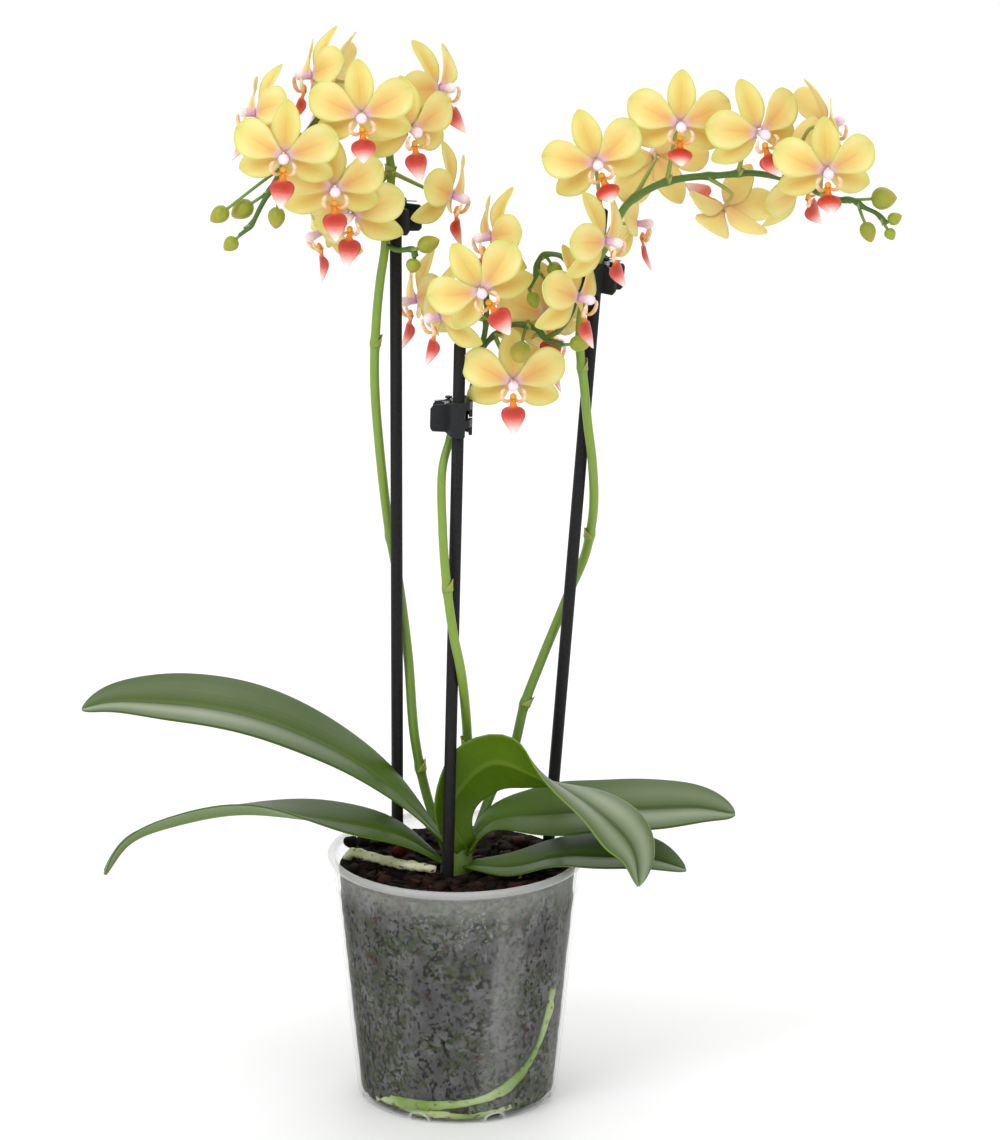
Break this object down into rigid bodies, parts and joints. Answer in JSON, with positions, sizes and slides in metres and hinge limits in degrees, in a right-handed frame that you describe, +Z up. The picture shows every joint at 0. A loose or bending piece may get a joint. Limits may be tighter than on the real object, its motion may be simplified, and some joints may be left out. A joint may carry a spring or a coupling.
{
  "type": "potted orchid",
  "caption": "Moth orchid with arching flower spikes tied to stakes, pale yellow blooms with red lips, strap leaves and a clear plastic grow pot of bark.",
  "frame": {"origin": "centre of the pot's underside", "axes": "+Z up along the pot, the front of the plant looks along -Y, +X to the right seen from the front"},
  "size_m": [0.3713, 0.1241, 0.5026],
  "materials": {
    "pot": "clear frosted plastic, lightly scratched",
    "mix": "damp chopped bark with moss",
    "root": "pale green air roots, matt",
    "stake": "black, satin",
    "clip": "charcoal, satin",
    "spring": "bare steel",
    "leaf": "waxy leaf, satin sheen",
    "stem": "fresh green stem, satin",
    "petal": "soft petal, translucent"
  },
  "bodies": {
    "plant_and_pot": {"bloom_left_01": "petal", "bloom_left_02": "petal", "bloom_left_03": "petal", "bloom_left_04": "petal", "bloom_left_05": "petal", "bloom_left_06": "petal", "bloom_left_07": "petal", "bloom_left_08": "petal", "bloom_left_09": "petal", "bloom_left_10": "petal", "bloom_left_11": "petal", "bloom_middle_01": "petal", "bloom_middle_02": "petal", "bloom_middle_03": "petal", "bloom_middle_04": "petal", "bloom_middle_05": "petal", "bloom_middle_06": "petal", "bloom_middle_07": "petal", "bloom_middle_08": "petal", "bloom_middle_09": "petal", "bloom_right_01": "petal", "bloom_right_02": "petal", "bloom_right_03": "petal", "bloom_right_04": "petal", "bloom_right_05": "petal", "bloom_right_06": "petal", "bloom_right_07": "petal", "bloom_right_08": "petal", "bloom_right_09": "petal", "bloom_right_10": "petal", "clip_left_fixed_jaw": "clip", "clip_left_spring": "spring", "clip_middle_fixed_jaw": "clip", "clip_middle_spring": "spring", "clip_right_fixed_jaw": "clip", "clip_right_spring": "spring", "crown": "stem", "growing_mix": "mix", "leaf_folded": "leaf", "leaf_lower_left": "leaf", "leaf_lower_right": "leaf", "leaf_upper_left": "leaf", "leaf_upper_right": "leaf", "pot": "pot", "root_stub": "root", "root_surface": "root", "root_wall": "root", "spike_left": "stem", "spike_middle": "stem", "spike_right": "stem", "stake_left": "stake", "stake_middle": "stake", "stake_right": "stake"},
    "clip_left_jaw": {"clip_left_swinging_jaw": "clip"},
    "clip_middle_jaw": {"clip_middle_swinging_jaw": "clip"},
    "clip_right_jaw": {"clip_right_swinging_jaw": "clip"}
  },
  "joints": [
    {"name": "clip_left_hinge", "type": "hinge", "parent": "plant_and_pot", "child": "clip_left_jaw", "pos_m": [-0.0247, 0.00804, 0.41599], "axis": [-0.0024, 0, -1], "range_deg": [0, 25], "stiffness_Nm_per_rad": 0.02},
    {"name": "clip_middle_hinge", "type": "hinge", "parent": "plant_and_pot", "child": "clip_middle_jaw", "pos_m": [-0.00343, -0.00326, 0.32692], "axis": [-0.0244, -0.0445, -0.9987], "range_deg": [0, 25], "stiffness_Nm_per_rad": 0.02},
    {"name": "clip_right_hinge", "type": "hinge", "parent": "plant_and_pot", "child": "clip_right_jaw", "pos_m": [0.06702, 0.00519, 0.38954], "axis": [-0.0761, 0.038, -0.9964], "range_deg": [0, 25], "stiffness_Nm_per_rad": 0.02}
  ]
}
